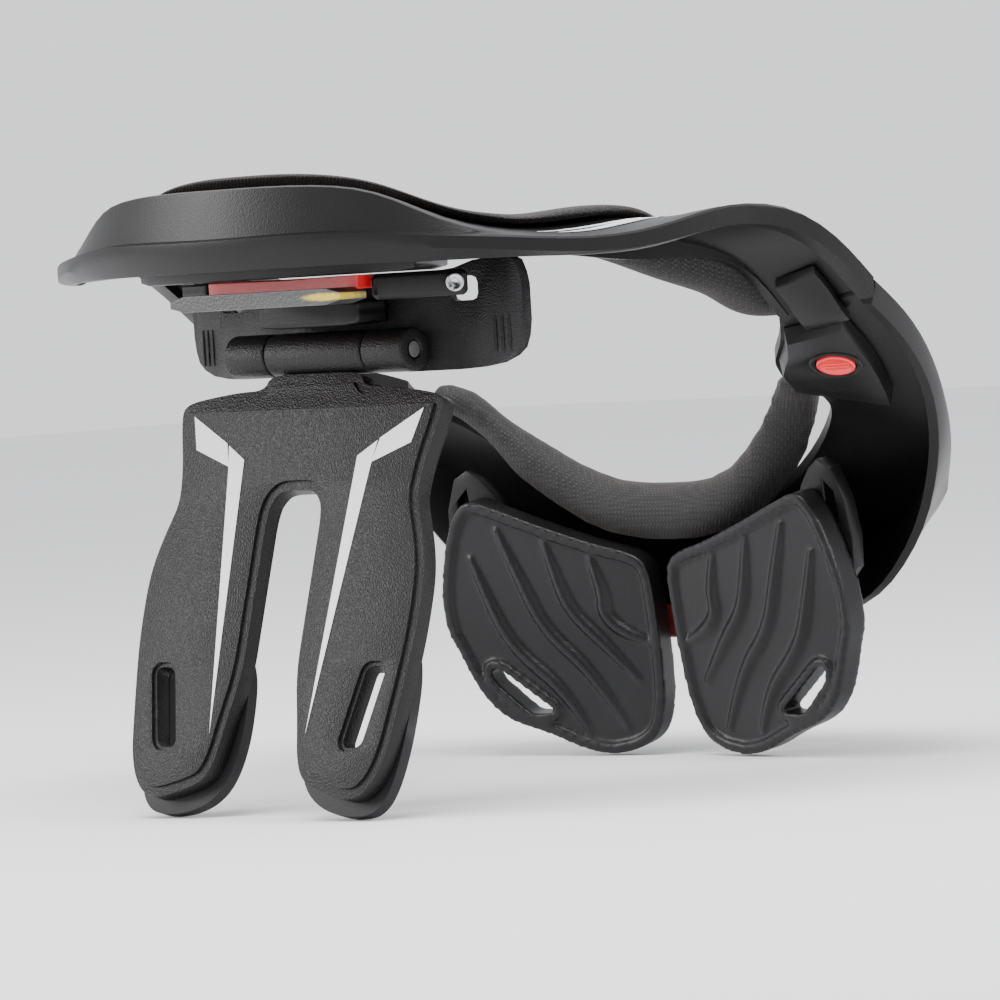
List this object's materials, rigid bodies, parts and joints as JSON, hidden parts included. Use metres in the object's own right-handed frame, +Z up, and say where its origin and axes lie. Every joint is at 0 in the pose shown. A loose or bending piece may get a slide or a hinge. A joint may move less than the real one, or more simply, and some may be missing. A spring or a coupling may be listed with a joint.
{
  "type": "motocross neck brace",
  "caption": "Rigid padded ring for the neck with a hinged back strut, red-buttoned closures at the shoulders, a swing-open front and ribbed foam chest pads.",
  "frame": {"origin": "middle of the bounding box in plan, at the lowest point of the foot and chest pads", "axes": "+Z up, +Y the way the wearer faces, +X the wearer's right side"},
  "size_m": [0.29, 0.272, 0.1971],
  "materials": {
    "moulded_plastic": "fine stippled and satin black",
    "woven_fabric": "fine woven black cloth over foam",
    "ribbed_foam": "satin moulded foam with chevron ribs",
    "foot_rubber": "matt black",
    "red_plastic": "glossy red",
    "grey_plastic": "dark grey",
    "steel": "bright"
  },
  "bodies": {
    "rear": {"rear_table": "moulded_plastic", "rear_neck_pad": "woven_fabric", "adjuster_bracket": "moulded_plastic", "adjuster_clip": "red_plastic", "adjuster_bar": "grey_plastic", "adjuster_arm": "moulded_plastic", "adjuster_stop": "moulded_plastic", "adjuster_screw": "steel", "angle_wedge": "moulded_plastic", "hinge_plate": "moulded_plastic", "hinge_knuckle_left": "moulded_plastic", "hinge_knuckle_right": "moulded_plastic", "hinge_pin": "steel", "closure_tongue_left": "moulded_plastic", "closure_tongue_right": "moulded_plastic", "rear_closure_knuckle": "moulded_plastic", "closure_pin": "steel"},
    "strut": {"strut_plate": "moulded_plastic", "strut_knuckle": "moulded_plastic", "strut_pad_left": "foot_rubber", "strut_pad_right": "foot_rubber"},
    "front": {"front_chassis": "moulded_plastic", "front_collar_pad": "woven_fabric", "chest_pad_left": "ribbed_foam", "chest_pad_right": "ribbed_foam", "pad_carrier_left": "moulded_plastic", "pad_carrier_right": "moulded_plastic", "front_clip": "red_plastic", "closure_housing_left": "moulded_plastic", "closure_housing_right": "moulded_plastic", "front_closure_knuckle": "moulded_plastic"},
    "button_left": {"button_left": "red_plastic"},
    "button_right": {"button_right": "red_plastic"}
  },
  "joints": [
    {"name": "strut_hinge", "type": "hinge", "parent": "rear", "child": "strut", "pos_m": [0, -0.082, 0.141], "axis": [1, 0, 0], "range_deg": [0, 35]},
    {"name": "collar_open", "type": "hinge", "parent": "rear", "child": "front", "pos_m": [-0.14046, 0.0115, 0.1504], "axis": [0, 0, 1], "range_deg": [0, 30]},
    {"name": "button_left_press", "type": "slide", "parent": "front", "child": "button_left", "axis": [0.2039, 0.4221, 0.8833], "range_m": [0, 0.0015], "stiffness_N_per_m": 600},
    {"name": "button_right_press", "type": "slide", "parent": "front", "child": "button_right", "axis": [-0.2039, 0.4221, 0.8833], "range_m": [0, 0.0015], "stiffness_N_per_m": 600}
  ]
}
